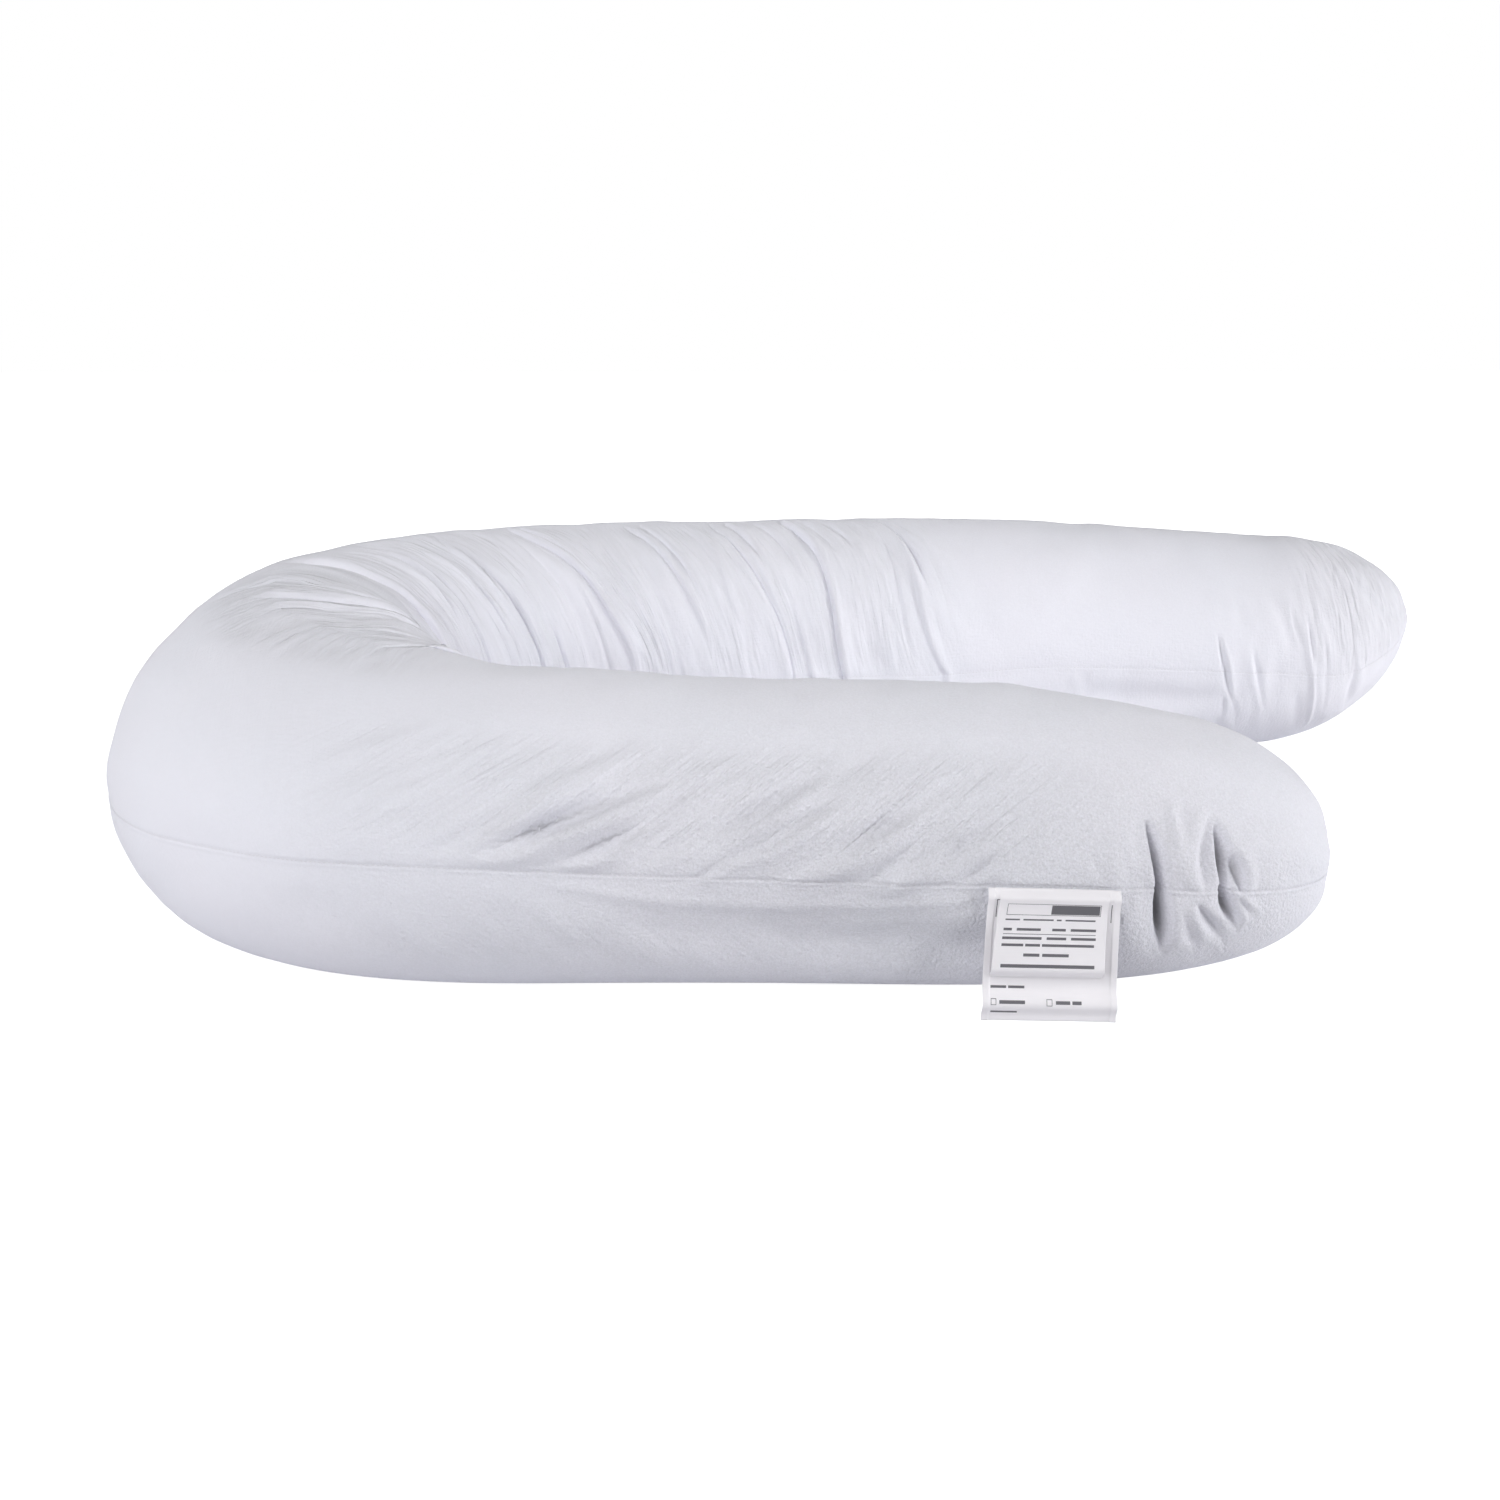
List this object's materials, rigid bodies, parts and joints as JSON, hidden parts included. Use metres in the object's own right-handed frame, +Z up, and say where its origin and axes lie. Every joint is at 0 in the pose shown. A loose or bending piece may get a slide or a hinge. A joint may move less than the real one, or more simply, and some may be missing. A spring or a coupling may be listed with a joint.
{
  "type": "u-shaped pregnancy pillow",
  "caption": "Filled white cotton body pillow lying flat in a U, with one arm shorter than the other, a seam at mid height and plain satin labels sewn into it.",
  "frame": {"origin": "middle of the whole pillow's box in plan, on the surface that it rests on", "axes": "+X along the arms from the bend to the tips, +Y from the shorter arm to the longer one, +Z up"},
  "size_m": [1.1923, 0.7849, 0.2402],
  "materials": {
    "cotton": "plain woven cotton, matt, white with a faint cool cast",
    "satin": "smooth white satin ribbon"
  },
  "bodies": {
    "root": {"pillow_body": "cotton", "label_long": "satin", "label_short": "satin"}
  },
  "joints": []
}
